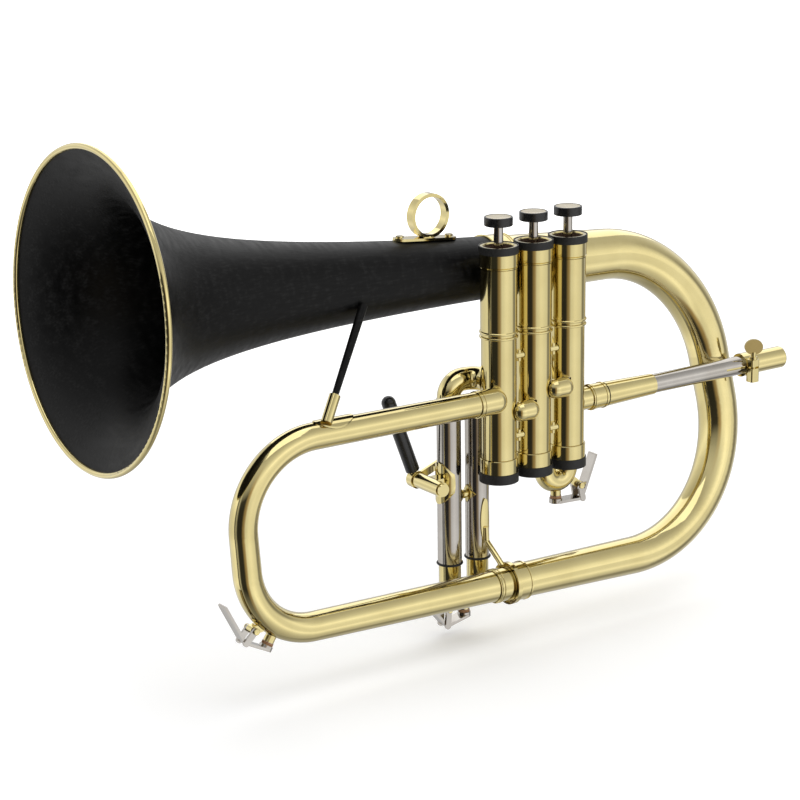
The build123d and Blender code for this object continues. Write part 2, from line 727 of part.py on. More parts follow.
def key_lever(key):
    """A sprung lever: two cheeks on its pin, the cork cup and the finger end."""
    pivot = key_point(key, *key["pivot"])
    knee = key_point(key, *key["knee"])
    tip = key_point(key, *key["tip"])
    cup_low = key_point(key, 0, -CORK_DEPTH - 1.2)
    seat = key_point(key, 0, -CORK_DEPTH - 1.3)
    y = key["y"]
    lever = rod((pivot[0], y - 4.4, pivot[2]), (pivot[0], y + 4.4, pivot[2]), KEY_PIN_R)
    for side in (-1, 1):
        cheek_y = y + side * 3.3
        lever += flat_link((pivot[0], cheek_y, pivot[2]), (knee[0], cheek_y, knee[2]), 3.4, 1.4)
    lever += flat_link(seat, knee, 1.6, 7.6)
    lever += flat_link(knee, tip, 1.6, 6.4)
    cup = rod(key_point(key, 0, -CORK_DEPTH + 0.6), key_point(key, 0, -CORK_DEPTH - 2.0), CORK_R + 0.6)
    cup -= rod(key_point(key, 0, 0.1), key_point(key, 0, -CORK_DEPTH), CORK_R + 0.02)
    clear = rod(key_point(key, 0, 3.0), key_point(key, 0, -CORK_DEPTH), CORK_R + 0.02)
    return (lever - clear) + cup


def key_cork(key):
    """The cork pad that closes the nipple."""
    return rod(key_point(key, 0, -0.03), key_point(key, 0, -CORK_DEPTH), CORK_R)


def main_key_seat():
    """The nipple and post of the main drain, on the front bow's lower corner."""
    nipple = pipe(key_point(MAIN_KEY, 0, 4.0), key_point(MAIN_KEY, 0, 0), 2.9, 1.5)
    seat = nipple + key_post(MAIN_KEY)
    return seat - front_bow_outside()


def front_bow_outside():
    """The front bow's lower corner as one solid bar, used to trim what sits on it."""
    points = [(x, PASSAGE_Y, z) for x, z in front_corners()]
    path = FilletPolyline(*points, radius=[FRONT_TOP_BEND, FRONT_LOW_BEND])
    return sweep(Plane(origin=path @ 0, z_dir=path % 0) * Circle(7.75), path)


# ---- Third-slide trigger ----
LINK_X = PIVOT_X + CRANK_ARM * math.cos(math.radians(CRANK_RISE))
LINK_HIGH = PIVOT_Z + CRANK_ARM * math.sin(math.radians(CRANK_RISE))
LINK_LOW = -129.5


def trigger_saddle():
    """The oval plate on the front slide tube with the hinge barrel of the trigger."""
    x = THIRD_X[0]
    shell = ring_z(x, SLIDE_Y, PIVOT_Z - 12, PIVOT_Z + 12, OUTER_R + 0.9, OUTER_R)
    oval = Pos(x - 7, SLIDE_Y, PIVOT_Z) * Rot(0, 90, 0) * extrude(Ellipse(11.5, 7.2), 6, both=True)
    pedestal = block((PIVOT_X + 1, SLIDE_Y - 4, PIVOT_Z - 3.4), (x - 5, SLIDE_Y + 4, PIVOT_Z + 3.4))
    barrel = rod((PIVOT_X, BARREL_Y[0], PIVOT_Z), (PIVOT_X, BARREL_Y[1], PIVOT_Z), 4.0)
    saddle = (shell & oval) + pedestal + barrel
    saddle -= ring_z(x, SLIDE_Y, PIVOT_Z - 14, PIVOT_Z + 14, OUTER_R)
    return saddle - rod((PIVOT_X, 0, PIVOT_Z), (PIVOT_X, 40, PIVOT_Z), 2.0 + FIT)


def lever_point(distance):
    lean = math.radians(LEVER_LEAN)
    return PIVOT_X - distance * math.sin(lean), LEVER_Y, PIVOT_Z + distance * math.cos(lean)


def trigger_lever():
    """The hinge pin with its hub, the arm for the finger and the short crank."""
    pin = rod((PIVOT_X, 5.8, PIVOT_Z), (PIVOT_X, LEVER_Y, PIVOT_Z), 2.0)
    head = rod((PIVOT_X, 4.6, PIVOT_Z), (PIVOT_X, 6.0, PIVOT_Z), 3.4)
    hub = rod((PIVOT_X, BARREL_Y[1] + 0.3, PIVOT_Z), (PIVOT_X, LEVER_Y + 2.4, PIVOT_Z), 4.8)
    arm = rod(lever_point(0), lever_point(LEVER_LENGTH - 1), 1.7)
    crank_y = LEVER_Y + 0.6
    crank = flat_link((PIVOT_X, crank_y, PIVOT_Z), (LINK_X, crank_y, LINK_HIGH), 4.2, 1.8)
    crank_pin = rod((LINK_X, LINK_Y - 1.3, LINK_HIGH), (LINK_X, crank_y, LINK_HIGH), 1.2)
    return pin + head + hub + arm + crank + crank_pin


def trigger_grip():
    """The black sleeve on the arm, with a round end."""
    sleeve = rod(lever_point(6.0), lever_point(LEVER_LENGTH), 3.8) + Pos(*lever_point(LEVER_LENGTH)) * Sphere(3.8)
    return sleeve - rod(lever_point(0), lever_point(LEVER_LENGTH - 1), 1.7)


def trigger_link():
    """The pull rod from the crank down to the slide bow, with a slotted head."""
    shank = rod((LINK_X, LINK_Y, LINK_LOW + 2.0), (LINK_X, LINK_Y, LINK_HIGH - 2.4), 1.2)
    head = flat_link((LINK_X - 2.2, LINK_Y, LINK_HIGH), (LINK_X + 2.2, LINK_Y, LINK_HIGH), 5.6, 2.4)
    slot = flat_link((LINK_X - 1.4, LINK_Y, LINK_HIGH), (LINK_X + 1.4, LINK_Y, LINK_HIGH), 3.0, 6.0)
    foot = rod((LINK_X, LINK_Y - 1.6, LINK_LOW), (LINK_X, LINK_Y + 1.6, LINK_LOW), 3.2)
    foot -= rod((LINK_X, LINK_Y - 3, LINK_LOW), (LINK_X, LINK_Y + 3, LINK_LOW), 2.0)
    return (shank + head - slot) + foot


# ---- Braces, finger ring ----
BRACE_LOW = (-131.6, -8.0, 0.4)
BRACE_HIGH = (-101.6, 8.4, 41.6)


def bell_outside():
    """The bell as one solid bar, used to trim what is fitted against it."""
    stops = [BELL_LENGTH * (1 - (1 - i / 18) ** 1.8) for i in range(19)]
    curve = Spline(*[(s, bell_radius(s)) for s in stops])
    edge = [curve, Line((stops[-1], bell_radius(stops[-1])), (stops[-1], 0)),
            Line((stops[-1], 0), (0, 0)), Line((0, 0), (0, bell_radius(0)))]
    return BELL_AXIS * revolve(make_face(edge), Axis.X, 360)


def brace_point(share):
    return tuple(a + (b - a) * share for a, b in zip(BRACE_LOW, BRACE_HIGH))


def bell_brace_rod():
    """The carbon stay from the front tube up to the bell, thicker at the top."""
    start, end = Vector(*brace_point(0.0)), Vector(*brace_point(1.0))
    low = Plane(origin=start, z_dir=end - start)
    high = Plane(origin=end, z_dir=end - start)
    stay = loft([low * Circle(1.7), high * Circle(2.3)])
    return stay - bell_outside()


def front_tube_bar(radius):
    """The straight front tube as one solid bar."""
    start = (OUTLET_X, PASSAGE_Y, OUTLET_Z - FRONT_TOP_SLOPE * OUTLET_X)
    end = (-146.0, PASSAGE_Y, OUTLET_Z + FRONT_TOP_SLOPE * 146.0)
    return rod(start, end, radius)


def bell_brace_foot():
    """The brass socket and its long saddle on the front tube."""
    saddle_z = OUTLET_Z + FRONT_TOP_SLOPE * 132.0
    shell = front_tube_bar(7.75) & block((-143.5, -20, saddle_z + 1.0), (-120.5, 4, saddle_z + 12))
    oval = Pos(-132.0, PASSAGE_Y, saddle_z) * extrude(Ellipse(11.5, 6.2), 12)
    socket = rod(brace_point(-0.22), brace_point(0.06), 2.9)
    foot = (shell & oval) + socket
    foot -= front_tube_bar(7.15)
    foot -= rod(brace_point(0.0), brace_point(0.2), 1.75)
    return max(foot.solids(), key=lambda solid: solid.volume)


RING_X = -46.7
RING_Z = 77.6
RING_R = 11.7


def bell_top(x):
    """Height of the bell's top line above a place along it."""
    along = BELL_JOIN_X - x
    return TOP_Z + TOP_SLOPE * x * math.cos(math.radians(BOW_TILT)) + bell_radius(along)


def ring_y(x):
    return TOP_Y + TOP_SLOPE * x * math.sin(math.radians(BOW_TILT))


def finger_ring():
    """The ring for the hand, brazed on its plate."""
    y = ring_y(RING_X)
    hoop = pipe((RING_X, y - 2.6, RING_Z), (RING_X, y + 2.6, RING_Z), RING_R, RING_R - 1.9)
    low_x, high_x = -68.4, -29.8
    z0, z1 = bell_top(low_x) + 0.25, bell_top(high_x) + 0.25
    turn = math.degrees(math.atan2(z0 - z1, high_x - low_x))
    middle = ((low_x + high_x) / 2, y, (z0 + z1) / 2 + 0.6)
    slab = Pos(*middle) * Rot(0, turn, 0) * extrude(SlotOverall(38.6, 9.0), 0.65, both=True)
    for hole_x in (-64.6, -33.6):
        slab -= ring_z(hole_x, y, 60, 80, 1.35)
    seat = ring_z(RING_X, y, RING_Z - RING_R + 0.3, RING_Z - RING_R + 1.6, 2.9)
    return slab + (hoop + (seat - rod((RING_X, y - 4, RING_Z), (RING_X, y + 4, RING_Z), RING_R - 1.0)))


def ring_screws():
    """Two small screws through the ring's plate into the bell."""
    screws = []
    for x in (-64.6, -33.6):
        y = ring_y(x)
        top = bell_top(x) + 1.75
        head = ring_z(x, y, top, top + 0.9, 2.1)
        head -= block((x - 3, y - 0.25, top + 0.5), (x + 3, y + 0.25, top + 1))
        screws.append(head + ring_z(x, y, top - 2.3, top + 0.1, 1.25))
    return group(screws)


def s_brace():
    """The bent strap from the rear slide tube down to the ring round the bow ferrule."""
    x = THIRD_X[1]
    front_y = SLIDE_Y - OUTER_R
    leaf = ring_z(x, SLIDE_Y, -101.5, -76.0, OUTER_R + 1.0, OUTER_R)
    oval = Pos(x, SLIDE_Y - 7, -88.5) * Rot(90, 0, 0) * extrude(Ellipse(2.6, 12.5), 5, both=True)
    ring = pipe(low_tube_point(-24.2), low_tube_point(-21.6), 11.4, 10.25)
    strap = bent(
        [(x, front_y - 1.0, -92.0), (x, front_y - 1.6, -99.6), (x + 0.9, -4.4, -110.4), (x + 1.6, -7.6, -114.0)],
        [3.0, 2.0], 1.6,
    )
    brace = (leaf & oval) + strap + ring
    brace -= rod(low_tube_point(-30), low_tube_point(-15), 10.25)
    return brace - ring_z(x, SLIDE_Y, -108, -70, OUTER_R)


def bell_stay():
    """The short stay behind valve 1 that holds the back bow to the casing."""
    stay = rod((VALVE_X[1], 7.0, 30.0), (VALVE_X[1], 20.0, 38.0), 2.0)
    pad = rod((VALVE_X[1], 9.2, 30.9), (VALVE_X[1], 10.6, 31.9), 4.0)
    tube = BOW_PLANE * rod((-10, TOP_SLOPE * -10, 0), (70, TOP_SLOPE * 70, 0), 15.6)
    return (stay + pad) - casing_outside(1) - tube


def build():
    save(bell_shell(), "bell")
    save(bell_rim(), "bell_rim")
    save(bell_ferrule(), "bell_ferrule")
    save(back_bow(), "back_bow")
    save(front_bow(), "front_bow")
    save(bow_ferrule(), "bow_ferrule")
    for number in VALVE_X:
        save(valve_casing(number), f"valve_casing_{number}")
        save(top_cap(number), f"top_cap_{number}")
        save(bottom_cap(number), f"bottom_cap_{number}")
        save(piston(number), f"piston_{number}")
        save(valve_spring(number), f"valve_spring_{number}")
        save(group([finger_button(number), button_inlay(number)]), f"finger_button_{number}")
    save(group(valve_guide(number) for number in VALVE_X), "valve_guides")
    save(group([top_trim_rings(), bottom_trim_rings()]), "cap_trim_rings")
    save(top_felts(), "top_felts")
    save(casing_bridges(), "casing_bridges")
    save(group(valve_passage(pair) for pair in PASSAGES), "valve_passages")
    save(outlet_knuckle(), "outlet_knuckle")
    save(lead_knuckle(), "lead_knuckle")
    save(lead_sleeve(), "lead_sleeve")
    save(lead_tube(), "lead_tube")
    save(clamp_ring(), "clamp_ring")
    save(wing_screw(), "wing_screw")
    save(mouthpipe(), "mouthpipe")
    save(group([crook(THIRD_X[0], THIRD_X[1], SLIDE_PORTS[3][1], -19.0, 3),
                elbow(THIRD_X[1], SLIDE_PORTS[3][0], -31.3, 3)]), "third_slide_elbows")
    save(slide_outers(THIRD_X, (-19.0, -31.3), THIRD_OUTER_LOW), "third_slide_tubes")
    save(third_slide_brace(), "third_slide_brace")
    save(third_slide_bow(), "third_slide_bow")
    save(o_rings(), "slide_o_rings")
    save(group([crook(FIRST_X[1], VALVE_X[1] - 0.5, SLIDE_PORTS[1][1], -22.4, 1),
                elbow(FIRST_X[0], SLIDE_PORTS[1][0], -22.4, 1)]), "first_slide_elbows")
    save(slide_outers(FIRST_X, (-22.4, -22.4), FIRST_OUTER_LOW), "first_slide_tubes")
    save(first_slide_bow(), "first_slide_bow")
    save(second_slide_outers(), "second_slide_tubes")
    save(second_slide_bow(), "second_slide_bow")
    save(trigger_saddle(), "trigger_saddle")
    save(trigger_lever(), "trigger_lever")
    save(trigger_grip(), "trigger_grip")
    save(trigger_link(), "trigger_link")
    save(group([key_lever(THIRD_KEY), key_cork(THIRD_KEY)]), "third_key_lever")
    save(group([key_lever(FIRST_KEY), key_cork(FIRST_KEY)]), "first_key_lever")
    save(group([key_lever(MAIN_KEY), key_cork(MAIN_KEY)]), "main_key_lever")
    save(main_key_seat(), "main_key_seat")
    save(bell_brace_rod(), "bell_brace_rod")
    save(bell_brace_foot(), "bell_brace_foot")
    save(finger_ring(), "finger_ring")
    save(ring_screws(), "ring_screws")
    save(s_brace(), "s_brace")
    save(bell_stay(), "bell_stay")


build()
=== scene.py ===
import json
import math

import bmesh
import bpy
from mathutils import Matrix, Vector


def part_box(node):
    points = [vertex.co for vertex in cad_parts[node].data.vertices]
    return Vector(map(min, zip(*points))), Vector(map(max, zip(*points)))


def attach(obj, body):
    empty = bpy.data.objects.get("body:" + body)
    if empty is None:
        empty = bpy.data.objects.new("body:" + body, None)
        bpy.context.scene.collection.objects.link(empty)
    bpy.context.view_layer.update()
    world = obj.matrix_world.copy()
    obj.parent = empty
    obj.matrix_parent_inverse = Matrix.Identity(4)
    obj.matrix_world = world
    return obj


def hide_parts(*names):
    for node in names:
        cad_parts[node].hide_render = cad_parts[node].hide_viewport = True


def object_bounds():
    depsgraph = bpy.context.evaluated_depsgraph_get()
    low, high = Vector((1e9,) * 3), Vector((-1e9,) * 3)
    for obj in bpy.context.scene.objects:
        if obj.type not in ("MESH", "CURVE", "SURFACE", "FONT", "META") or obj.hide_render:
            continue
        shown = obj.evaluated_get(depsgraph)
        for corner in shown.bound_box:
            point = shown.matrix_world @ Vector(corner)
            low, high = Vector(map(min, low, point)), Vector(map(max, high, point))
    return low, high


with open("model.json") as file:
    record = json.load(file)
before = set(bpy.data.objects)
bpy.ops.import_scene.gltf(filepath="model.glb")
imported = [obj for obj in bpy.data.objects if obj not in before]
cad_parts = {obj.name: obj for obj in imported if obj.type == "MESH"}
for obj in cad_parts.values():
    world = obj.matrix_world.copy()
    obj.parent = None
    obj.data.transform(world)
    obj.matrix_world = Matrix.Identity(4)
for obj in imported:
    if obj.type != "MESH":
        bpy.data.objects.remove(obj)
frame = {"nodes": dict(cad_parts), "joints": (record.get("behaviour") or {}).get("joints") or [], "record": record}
cad_low, cad_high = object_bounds()

VALVES = (1, 2, 3)
MM = 0.001

# ---- Camera: where it stands round the horn, and where the foot of valve 2 falls in its view ----
CAMERA_AZIMUTH = math.radians(-34.62)
CAMERA_ELEVATION = math.radians(15.77)
CAMERA_ROLL = math.radians(0.80)
CAMERA_LENS = 109.4
FOOT_RIGHT = 71.16 * MM
FOOT_DOWN = 38.51 * MM
FOOT_AHEAD = 1299.85 * MM


def camera_axes():
    """The view's right, down and back directions before the small roll."""
    flat = math.cos(CAMERA_ELEVATION)
    back = Vector(
        (math.sin(CAMERA_AZIMUTH) * flat, -math.cos(CAMERA_AZIMUTH) * flat, math.sin(CAMERA_ELEVATION))
    )
    right = Vector((math.cos(CAMERA_AZIMUTH), math.sin(CAMERA_AZIMUTH), 0))
    return right, (-back).cross(right), back


def add_camera():
    """The camera, placed from the foot of valve 2."""
    right, down, back = camera_axes()
    cos_roll, sin_roll = math.cos(CAMERA_ROLL), math.sin(CAMERA_ROLL)
    rolled_right = right * cos_roll + down * sin_roll
    rolled_down = down * cos_roll - right * sin_roll
    cap_middle = middle("bottom_cap_2")
    foot = Vector((cap_middle.x, cap_middle.y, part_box("cap_trim_rings")[0].z))
    place = foot - rolled_right * FOOT_RIGHT - rolled_down * FOOT_DOWN + back * FOOT_AHEAD
    data = bpy.data.cameras.new("camera")
    data.lens = CAMERA_LENS
    camera = bpy.data.objects.new("camera", data)
    bpy.context.scene.collection.objects.link(camera)
    turn = Matrix((rolled_right, -rolled_down, back)).transposed()
    camera.matrix_world = Matrix.Translation(place) @ turn.to_4x4()
    bpy.context.scene.camera = camera


# ---- Studio ----
def ramp_stops(ramp, stops):
    """Set a colour ramp from (position, colour) pairs."""
    elements = ramp.color_ramp.elements
    while len(elements) < len(stops):
        elements.new(0.5)
    for element, (position, colour) in zip(elements, stops):
        element.position = position
        element.color = (*colour, 1.0)


def grey(level):
    """A colour with no tint."""
    return (level, level, level)


# Brightness round the horn: 0.5 is the camera's side, 0.75 its right, 0 and 1 are behind the horn
SIDE_STOPS = (
    (0.0, grey(0.50)),
    (0.20, grey(0.85)),
    (0.29, grey(0.95)),
    (0.315, grey(0.05)),
    (0.34, grey(0.45)),
    (0.38, grey(0.03)),
    (0.46, grey(0.03)),
    (0.51, (0.34, 0.26, 0.16)),
    (0.56, grey(0.88)),
    (0.63, grey(1.05)),
    (0.74, grey(0.90)),
    (0.80, grey(0.25)),
    (0.90, grey(0.70)),
    (1.0, grey(0.50)),
)
# From straight down to straight up: how far the sides give way to one plain level, and the gain over both
LEVEL_STOPS = ((0.0, grey(0.5)), (0.2, grey(0.0)), (0.62, grey(0.0)), (0.85, grey(1.0)))
GAIN_STOPS = (
    (0.0, grey(0.45)),
    (0.16, grey(0.80)),
    (0.26, grey(1.25)),
    (0.36, grey(0.95)),
    (0.48, grey(1.00)),
    (0.60, grey(1.30)),
    (0.74, grey(0.85)),
    (0.90, grey(0.55)),
    (1.0, grey(0.50)),
)
TOP_LEVEL = 0.95
WORLD_STRENGTH = 1.1
FLOOR_GAP = 4 * MM
FLOOR_HALF = 9.0
FLOOR_SHADE = 0.94
FLOOR_ROUGHNESS = 0.9
# The floor's own glow, which rises to plain white between the near and the far distance
FLOOR_GLOW = 0.22
FLOOR_NEAR = 0.45
FLOOR_FAR = 1.5
TOP_PANEL_PLACE = Vector((-0.1, -0.3, 1.9))
TOP_PANEL_SIZE = 1.6
TOP_PANEL_WATTS = 9.0
BACK_PANEL_AWAY = 1.4
BACK_PANEL_HIGH = 1.9
BACK_PANEL_SIZE = 2.4
BACK_PANEL_WATTS = 16.0


def add_world():
    """Soft bright sides with a dark card beside the camera, so that tubes show light and dark bands."""
    world = bpy.data.worlds.new("studio")
    bpy.context.scene.world = world
    world.use_nodes = True
    nodes, links = world.node_tree.nodes, world.node_tree.links
    nodes.clear()
    place = nodes.new("ShaderNodeTexCoord")
    right, _, back = camera_axes()
    camera_side = Vector((back.x, back.y, 0)).normalized()
    across = nodes.new("ShaderNodeVectorMath")
    across.operation = "DOT_PRODUCT"
    across.inputs[1].default_value = right
    toward = nodes.new("ShaderNodeVectorMath")
    toward.operation = "DOT_PRODUCT"
    toward.inputs[1].default_value = camera_side
    for node in (across, toward):
        links.new(place.outputs["Generated"], node.inputs[0])
    angle = nodes.new("ShaderNodeMath")
    angle.operation = "ARCTAN2"
    links.new(across.outputs["Value"], angle.inputs[0])
    links.new(toward.outputs["Value"], angle.inputs[1])
    turn = nodes.new("ShaderNodeMapRange")
    turn.inputs["From Min"].default_value = -math.pi
    turn.inputs["From Max"].default_value = math.pi
    links.new(angle.outputs[0], turn.inputs["Value"])
    sides = nodes.new("ShaderNodeValToRGB")
    sides.color_ramp.interpolation = "EASE"
    ramp_stops(sides, SIDE_STOPS)
    links.new(turn.outputs["Result"], sides.inputs["Fac"])
    split = nodes.new("ShaderNodeSeparateXYZ")
    links.new(place.outputs["Generated"], split.inputs[0])
    height = nodes.new("ShaderNodeMapRange")
    height.inputs["From Min"].default_value = -1.0
    height.inputs["From Max"].default_value = 1.0
    links.new(split.outputs["Z"], height.inputs["Value"])
    levels = nodes.new("ShaderNodeValToRGB")
    ramp_stops(levels, LEVEL_STOPS)
    links.new(height.outputs["Result"], levels.inputs["Fac"])
    blend = nodes.new("ShaderNodeMix")
    blend.data_type = "RGBA"
    blend.inputs["B"].default_value = (*grey(TOP_LEVEL), 1.0)
    links.new(levels.outputs["Color"], blend.inputs["Factor"])
    links.new(sides.outputs["Color"], blend.inputs["A"])
    gains = nodes.new("ShaderNodeValToRGB")
    ramp_stops(gains, GAIN_STOPS)
    links.new(height.outputs["Result"], gains.inputs["Fac"])
    banded = nodes.new("ShaderNodeMix")
    banded.data_type = "RGBA"
    banded.blend_type = "MULTIPLY"
    banded.inputs["Factor"].default_value = 1.0
    links.new(blend.outputs["Result"], banded.inputs["A"])
    links.new(gains.outputs["Color"], banded.inputs["B"])
    lit = nodes.new("ShaderNodeBackground")
    lit.inputs["Strength"].default_value = WORLD_STRENGTH
    links.new(banded.outputs["Result"], lit.inputs["Color"])
    plain = nodes.new("ShaderNodeBackground")
    plain.inputs["Color"].default_value = (1.0, 1.0, 1.0, 1.0)
    rays = nodes.new("ShaderNodeLightPath")
    choose = nodes.new("ShaderNodeMixShader")
    links.new(rays.outputs["Is Camera Ray"], choose.inputs["Fac"])
    links.new(lit.outputs[0], choose.inputs[1])
    links.new(plain.outputs[0], choose.inputs[2])
    output = nodes.new("ShaderNodeOutputWorld")
    links.new(choose.outputs[0], output.inputs["Surface"])


def add_floor():
    """White paper below the horn, left out of reflections."""
    bpy.ops.mesh.primitive_plane_add(size=2 * FLOOR_HALF, location=(0, 0, cad_low[2] - FLOOR_GAP))
    floor = bpy.context.object
    floor.name = "floor"
    material = bpy.data.materials.new("floor_paper")
    material.use_nodes = True
    shader = material.node_tree.nodes["Principled BSDF"]
    shader.inputs["Base Color"].default_value = (*grey(FLOOR_SHADE), 1.0)
    shader.inputs["Roughness"].default_value = FLOOR_ROUGHNESS
    shader.inputs["Emission Color"].default_value = (1.0, 1.0, 1.0, 1.0)
    nodes, links = material.node_tree.nodes, material.node_tree.links
    place = nodes.new("ShaderNodeTexCoord")
    away = nodes.new("ShaderNodeVectorMath")
    away.operation = "LENGTH"
    links.new(place.outputs["Object"], away.inputs[0])
    glow = nodes.new("ShaderNodeMapRange")
    glow.inputs["From Min"].default_value = FLOOR_NEAR
    glow.inputs["From Max"].default_value = FLOOR_FAR
    glow.inputs["To Min"].default_value = FLOOR_GLOW
    glow.inputs["To Max"].default_value = 1.0
    links.new(away.outputs["Value"], glow.inputs["Value"])
    links.new(glow.outputs["Result"], shader.inputs["Emission Strength"])
    floor.data.materials.append(material)
    floor.visible_glossy = False


def add_light(name, place, size, watts):
    """A large soft panel that looks at the horn."""
    data = bpy.data.lights.new(name, "AREA")
    data.size = size
    data.energy = watts
    light = bpy.data.objects.new(name, data)
    bpy.context.scene.collection.objects.link(light)
    light.location = place
    light.rotation_euler = (-Vector(place)).to_track_quat("-Z", "Y").to_euler()


def add_studio():
    add_world()
    add_floor()
    _, _, back = camera_axes()
    back_place = -back * BACK_PANEL_AWAY + Vector((0, 0, BACK_PANEL_HIGH))
    add_light("top_panel", TOP_PANEL_PLACE, TOP_PANEL_SIZE, TOP_PANEL_WATTS)
    add_light("back_panel", back_place, BACK_PANEL_SIZE, BACK_PANEL_WATTS)
    bpy.context.scene.view_settings.view_transform = "Standard"


# ---- Materials ----
# The part of a noise pattern's 0 to 1 that it mostly fills
NOISE_LOW = 0.3
NOISE_HIGH = 0.7


class Shader:
    """A new material and short ways to wire its nodes."""

    def __init__(self, name):
        self.material = bpy.data.materials.new(name)
        self.material.use_nodes = True
        self.nodes = self.material.node_tree.nodes
        self.links = self.material.node_tree.links
        self.surface = self.nodes["Principled BSDF"]
        self.place = self.nodes.new("ShaderNodeTexCoord").outputs["Object"]

    def set(self, **values):
        for name, value in values.items():
            self.surface.inputs[name.replace("_", " ")].default_value = value

    def stretched(self, scale, turn=(0, 0, 0)):
        """The object's own coordinates, scaled unevenly."""
        mapping = self.nodes.new("ShaderNodeMapping")
        mapping.inputs["Scale"].default_value = scale
        mapping.inputs["Rotation"].default_value = turn
        self.links.new(self.place, mapping.inputs["Vector"])
        return mapping.outputs["Vector"]

    def noise(self, scale, detail=4.0, place=None):
        noise = self.nodes.new("ShaderNodeTexNoise")
        noise.inputs["Scale"].default_value = scale
        noise.inputs["Detail"].default_value = detail
        self.links.new(place or self.place, noise.inputs["Vector"])
        return noise.outputs["Fac"]

    def ramp(self, factor, *stops):
        ramp = self.nodes.new("ShaderNodeValToRGB")
        ramp_stops(ramp, stops)
        self.links.new(factor, ramp.inputs["Fac"])
        return ramp.outputs["Color"]

    def span(self, factor, low, high):
        """A noise pattern turned into a value from low to high."""
        span = self.nodes.new("ShaderNodeMapRange")
        span.inputs["From Min"].default_value = NOISE_LOW
        span.inputs["From Max"].default_value = NOISE_HIGH
        span.inputs["To Min"].default_value = low
        span.inputs["To Max"].default_value = high
        self.links.new(factor, span.inputs["Value"])
        return span.outputs["Result"]

    def join(self, output, name):
        self.links.new(output, self.surface.inputs[name])

    def bump(self, height, strength, distance):
        bump = self.nodes.new("ShaderNodeBump")
        bump.inputs["Strength"].default_value = strength
        bump.inputs["Distance"].default_value = distance
        self.links.new(height, bump.inputs["Height"])
        self.join(bump.outputs["Normal"], "Normal")


def polished(name, pale, deep, roughness):
    """Polished metal with faint clouding and fine rubbing marks."""
    shader = Shader(name)
    shader.set(Metallic=1.0)
    clouds = shader.noise(60.0, 5.0)
    shader.join(shader.ramp(clouds, (0.35, deep), (0.65, pale)), "Base Color")
    marks = shader.noise(900.0, 3.0, shader.stretched((1.0, 1.0, 0.08)))
    shader.join(shader.span(marks, roughness * 0.8, roughness * 1.35), "Roughness")
    shader.bump(marks, 0.04, 0.00004)
    return shader.material


def brass():
    material = polished("lacquered_brass", (0.70, 0.595, 0.275), (0.655, 0.55, 0.245), 0.085)
    surface = material.node_tree.nodes["Principled BSDF"]
    surface.inputs["Coat Weight"].default_value = 0.6
    surface.inputs["Coat Roughness"].default_value = 0.04
    return material


def nickel():
    return polished("polished_nickel", (0.50, 0.475, 0.44), (0.44, 0.41, 0.37), 0.11)


def steel():
    return polished("spring_steel", (0.55, 0.55, 0.56), (0.42, 0.42, 0.44), 0.25)


def carbon():
    """Satin black carbon: fine fibres along the flare, crossed by slanting strands that catch the light."""
    shader = Shader("carbon_fibre")
    fibres = shader.noise(900.0, 6.0, shader.stretched((0.12, 1.0, 1.0)))
    strands = shader.noise(340.0, 5.0, shader.stretched((1.0, 0.16, 0.5), (0.0, 0.5, 0.7)))
    weave = shader.nodes.new("ShaderNodeMath")
    weave.operation = "MULTIPLY"
    shader.links.new(fibres, weave.inputs[0])
    shader.links.new(strands, weave.inputs[1])
    woven = weave.outputs[0]
    colour = shader.ramp(woven, (0.14, grey(0.001)), (0.26, grey(0.0025)), (0.42, grey(0.010)))
    shader.join(colour, "Base Color")
    shader.join(shader.span(strands, 0.34, 0.50), "Roughness")
    shader.set(Specular_IOR_Level=0.15)
    shader.bump(woven, 0.5, 0.00015)
    return shader.material


def black_plastic():
    shader = Shader("black_plastic")
    grain = shader.noise(700.0, 3.0)
    shader.join(shader.ramp(grain, (0.3, grey(0.004)), (0.7, grey(0.010))), "Base Color")
    shader.join(shader.span(grain, 0.22, 0.34), "Roughness")
    shader.bump(grain, 0.1, 0.00005)
    return shader.material


def rubber():
    shader = Shader("black_rubber")
    grain = shader.noise(1100.0, 4.0)
    shader.join(shader.ramp(grain, (0.3, grey(0.003)), (0.7, grey(0.009))), "Base Color")
    shader.join(shader.span(grain, 0.5, 0.7), "Roughness")
    shader.bump(grain, 0.3, 0.00008)
    return shader.material


def felt():
    shader = Shader("dark_felt")
    hairs = shader.noise(2600.0, 8.0)
    shader.join(shader.ramp(hairs, (0.3, (0.035, 0.018, 0.010)), (0.7, (0.16, 0.085, 0.045))), "Base Color")
    shader.set(Roughness=0.95, Sheen_Weight=0.4)
    shader.bump(hairs, 0.8, 0.0003)
    return shader.material


def cork():
    shader = Shader("cork")
    grains = shader.noise(1500.0, 6.0)
    shader.join(shader.ramp(grains, (0.35, (0.16, 0.07, 0.03)), (0.6, (0.42, 0.24, 0.12))), "Base Color")
    shader.set(Roughness=0.9)
    shader.bump(grains, 0.7, 0.0002)
    return shader.material


def pearl():
    """Cream mother-of-pearl with slow, cloudy bands."""
    shader = Shader("pearl_inlay")
    bands = shader.noise(180.0, 5.0, shader.stretched((1.0, 0.4, 1.0), (0, 0, 0.7)))
    dark, cream, pale = (0.40, 0.32, 0.17), (0.47, 0.39, 0.22), (0.54, 0.47, 0.31)
    colour = shader.ramp(bands, (0.3, dark), (0.55, cream), (0.75, pale))
    shader.join(colour, "Base Color")
    shader.join(shader.span(bands, 0.18, 0.3), "Roughness")
    shader.set(Coat_Weight=0.5, Coat_Roughness=0.1)
    return shader.material


MATERIALS = {
    "brass": brass(),
    "nickel": nickel(),
    "steel": steel(),
    "carbon": carbon(),
    "black_plastic": black_plastic(),
    "rubber": rubber(),
    "felt": felt(),
    "cork": cork(),
    "pearl": pearl(),
}


